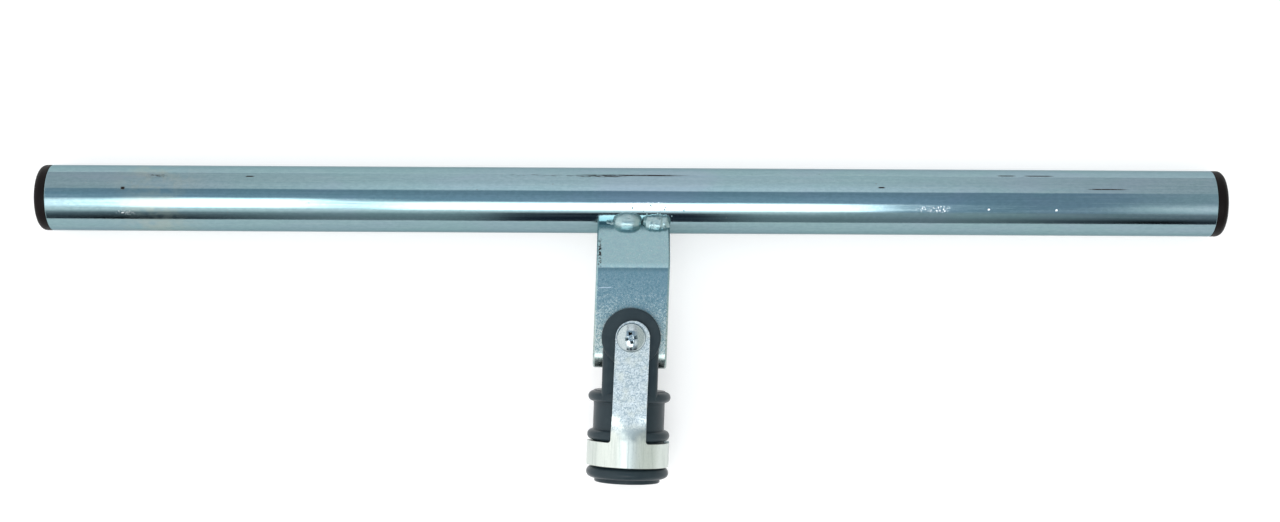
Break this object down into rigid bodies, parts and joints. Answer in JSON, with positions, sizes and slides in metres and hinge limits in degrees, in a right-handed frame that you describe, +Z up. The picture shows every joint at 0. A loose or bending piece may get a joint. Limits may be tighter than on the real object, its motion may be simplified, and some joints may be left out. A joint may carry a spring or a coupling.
{
  "type": "magnetic nail sweeper",
  "caption": "Magnetic nail sweeper head: long capped steel magnet tube with a welded bent strap bracket and a swivelling plastic handle socket.",
  "frame": {"origin": "middle of the overall box, on the surface that the head lies on", "axes": "+X along the tube, +Y from the handle socket towards the tube, +Z up from the surface that the head lies on"},
  "size_m": [0.61, 0.1646, 0.0569],
  "materials": {
    "tube_zinc": "gloss",
    "bracket_zinc": "satin",
    "frosted_zinc": "satin",
    "hardware_zinc": "gloss",
    "weld_metal": "satin",
    "grey_plastic": "satin",
    "black_plastic": "satin",
    "ferrite": "matte",
    "pole_steel": "satin",
    "spacer_plastic": "matte",
    "nylon": "satin"
  },
  "bodies": {
    "head": {"magnet_tube": "tube_zinc", "left_end_plug": "black_plastic", "right_end_plug": "black_plastic", "left_spacer": "spacer_plastic", "right_spacer": "spacer_plastic", "magnet_1": "ferrite", "magnet_2": "ferrite", "magnet_3": "ferrite", "magnet_4": "ferrite", "magnet_5": "ferrite", "magnet_6": "ferrite", "magnet_7": "ferrite", "magnet_8": "ferrite", "magnet_9": "ferrite", "magnet_10": "ferrite", "magnet_11": "ferrite", "magnet_12": "ferrite", "pole_disc_1": "pole_steel", "pole_disc_2": "pole_steel", "pole_disc_3": "pole_steel", "pole_disc_4": "pole_steel", "pole_disc_5": "pole_steel", "pole_disc_6": "pole_steel", "pole_disc_7": "pole_steel", "pole_disc_8": "pole_steel", "pole_disc_9": "pole_steel", "pole_disc_10": "pole_steel", "pole_disc_11": "pole_steel", "pole_disc_12": "pole_steel", "pole_disc_13": "pole_steel", "strap_bracket": "bracket_zinc", "front_weld_bead_1": "weld_metal", "front_weld_bead_2": "weld_metal", "rear_weld_bead_1": "weld_metal", "rear_weld_bead_2": "weld_metal"},
    "handle_yoke": {"handle_socket": "grey_plastic", "front_strap": "frosted_zinc", "rear_strap": "frosted_zinc", "pivot_screw": "hardware_zinc", "pivot_bushing": "pole_steel", "rear_washer": "hardware_zinc", "lock_nut": "hardware_zinc", "lock_nut_insert": "nylon"}
  },
  "joints": [
    {"name": "handle_swivel", "type": "hinge", "parent": "head", "child": "handle_yoke", "pos_m": [0.00045, -0.00769, 0.03168], "axis": [0, -0.1646, 0.9864], "range_deg": [-88.5, 91.5]}
  ]
}
